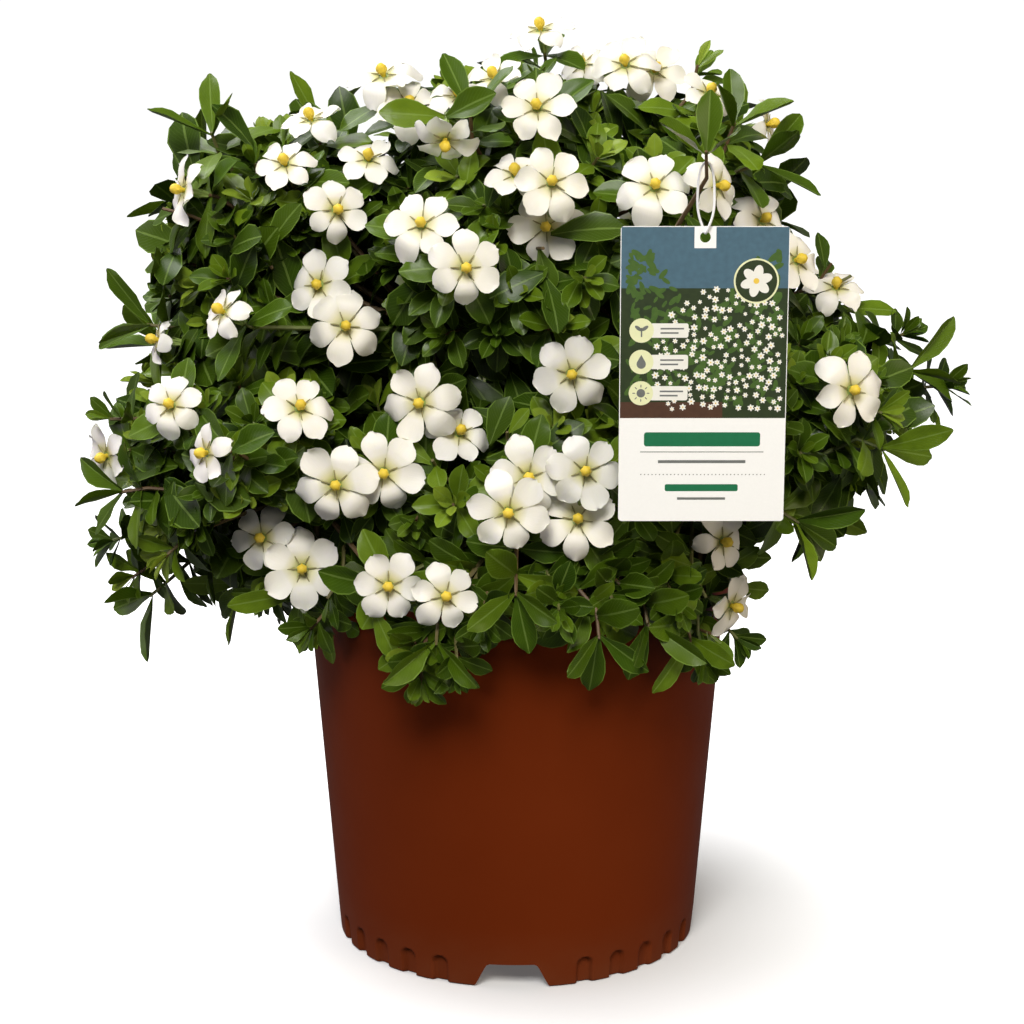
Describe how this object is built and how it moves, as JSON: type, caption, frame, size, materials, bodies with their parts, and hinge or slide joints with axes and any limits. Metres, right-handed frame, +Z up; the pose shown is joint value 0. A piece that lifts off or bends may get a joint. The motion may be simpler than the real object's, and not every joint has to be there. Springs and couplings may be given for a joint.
{
  "type": "potted gardenia",
  "caption": "Low rounded gardenia shrub with single white six-petal blooms, in a plain moulded nursery pot, with a card tag on a looped tie",
  "frame": {"origin": "on the ground under the middle of the pot", "axes": "+Z up, -Y towards the side with the tag and most of the blooms, +X to the right as seen from there"},
  "size_m": [0.5576, 0.4389, 0.596],
  "materials": {
    "pot": "satin",
    "soil": "matte",
    "wood": "matte",
    "branch": "satin",
    "bloom": "matte",
    "tag_tie": "satin",
    "tag": "satin"
  },
  "bodies": {
    "root": {"pot": "pot", "soil": "soil", "wood": "wood", "branch_01": "branch", "branch_02": "branch", "branch_03": "branch", "branch_04": "branch", "branch_05": "branch", "branch_06": "branch", "branch_07": "branch", "branch_08": "branch", "branch_09": "branch", "branch_10": "branch", "branch_11": "branch", "branch_12": "branch", "branch_13": "branch", "bloom_01": "bloom", "bloom_02": "bloom", "bloom_03": "bloom", "bloom_04": "bloom", "bloom_05": "bloom", "bloom_06": "bloom", "bloom_07": "bloom", "bloom_08": "bloom", "bloom_09": "bloom", "bloom_10": "bloom", "bloom_11": "bloom", "bloom_12": "bloom", "bloom_13": "bloom", "bloom_14": "bloom", "bloom_15": "bloom", "bloom_16": "bloom", "bloom_17": "bloom", "bloom_18": "bloom", "bloom_19": "bloom", "bloom_20": "bloom", "bloom_21": "bloom", "bloom_22": "bloom", "bloom_23": "bloom", "bloom_24": "bloom", "bloom_25": "bloom", "bloom_26": "bloom", "bloom_27": "bloom", "bloom_28": "bloom", "bloom_29": "bloom", "bloom_30": "bloom", "bloom_31": "bloom", "bloom_32": "bloom", "bloom_33": "bloom", "bloom_34": "bloom", "bloom_35": "bloom", "bloom_36": "bloom", "bloom_37": "bloom", "bloom_38": "bloom", "bloom_39": "bloom", "bloom_40": "bloom", "bloom_41": "bloom", "bloom_42": "bloom", "tag_tie": "tag_tie", "tag": "tag"}
  },
  "joints": []
}
